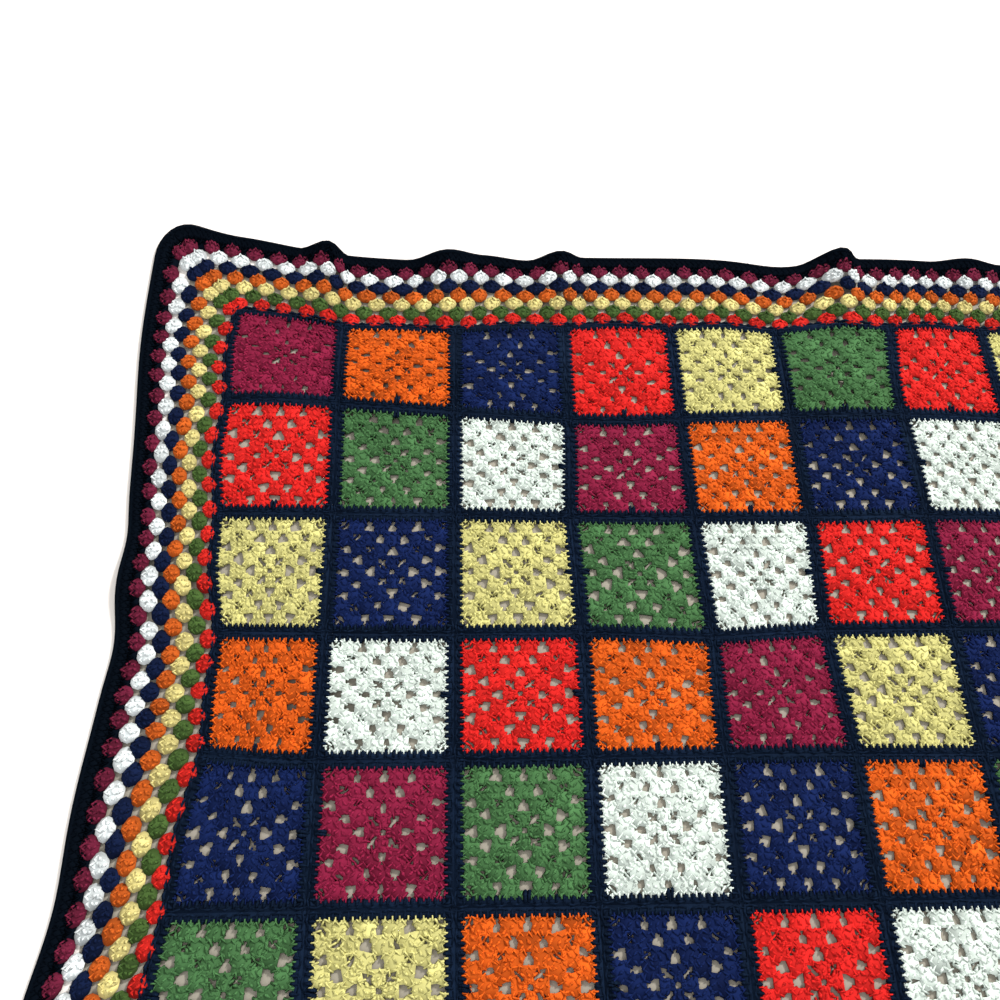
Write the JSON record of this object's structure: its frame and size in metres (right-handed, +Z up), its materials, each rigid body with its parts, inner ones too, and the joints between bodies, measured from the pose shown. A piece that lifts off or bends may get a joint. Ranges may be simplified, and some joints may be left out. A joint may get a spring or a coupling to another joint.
{
  "type": "granny square blanket",
  "caption": "Rectangular crocheted throw of joined granny squares with a striped cluster border and a ruffled dark edging, lying flat.",
  "frame": {"origin": "middle of the blanket at the level of the surface that it lies on", "axes": "+Z up, +Y along the long side towards the first row of squares, +X across the columns"},
  "size_m": [1.1046, 1.353, 0.027],
  "materials": {
    "yarn_burgundy": "matt worsted acrylic yarn, crocheted",
    "yarn_orange": "matt worsted acrylic yarn, crocheted",
    "yarn_navy": "matt worsted acrylic yarn, crocheted",
    "yarn_red": "matt worsted acrylic yarn, crocheted",
    "yarn_yellow": "matt worsted acrylic yarn, crocheted",
    "yarn_green": "matt worsted acrylic yarn, crocheted",
    "yarn_white": "matt worsted acrylic yarn, crocheted",
    "yarn_dark": "matt worsted acrylic yarn, densely crocheted"
  },
  "bodies": {
    "root": {"squares_panel": "yarn_burgundy", "cluster_border": "yarn_yellow", "dark_edging": "yarn_dark"}
  },
  "joints": []
}
